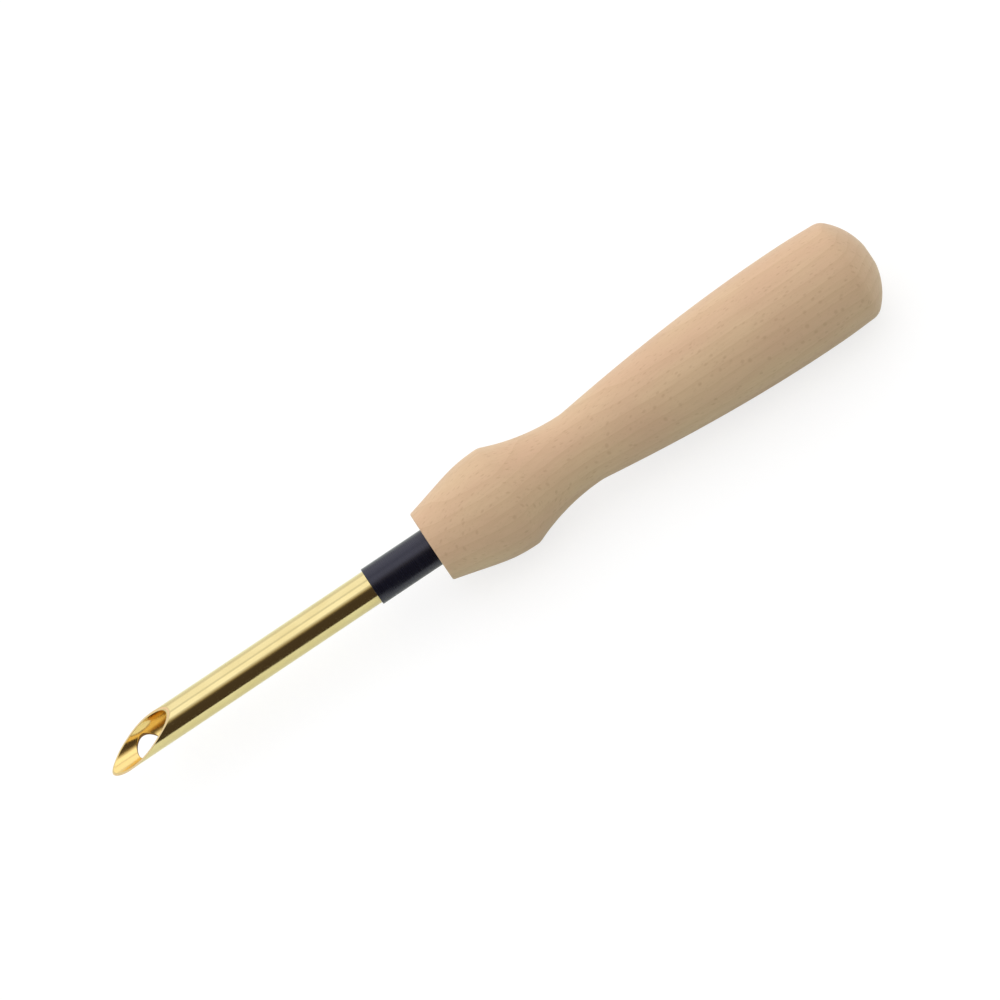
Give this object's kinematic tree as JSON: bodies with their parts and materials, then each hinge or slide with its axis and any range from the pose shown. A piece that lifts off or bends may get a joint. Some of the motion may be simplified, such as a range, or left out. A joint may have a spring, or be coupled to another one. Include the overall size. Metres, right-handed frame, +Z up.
{
  "type": "punch needle",
  "caption": "Hand tool for loop-pile embroidery: turned wooden handle, gold-coloured metal needle tube with a slanted tip and a yarn eye, and a black sleeve at the joint.",
  "frame": {"origin": "under the middle of the whole length, on the surface that the tool lies on", "axes": "+X from the needle's tip to the domed rear end of the handle, +Z up and the way the slanted cut opens"},
  "size_m": [0.149, 0.0186, 0.0187],
  "materials": {
    "beech": "fine-sanded, thin matt oil",
    "gold_plate": "polished plate",
    "black_plastic": "satin"
  },
  "bodies": {
    "root": {"handle": "beech", "needle_tube": "gold_plate", "sleeve": "black_plastic"}
  },
  "joints": []
}
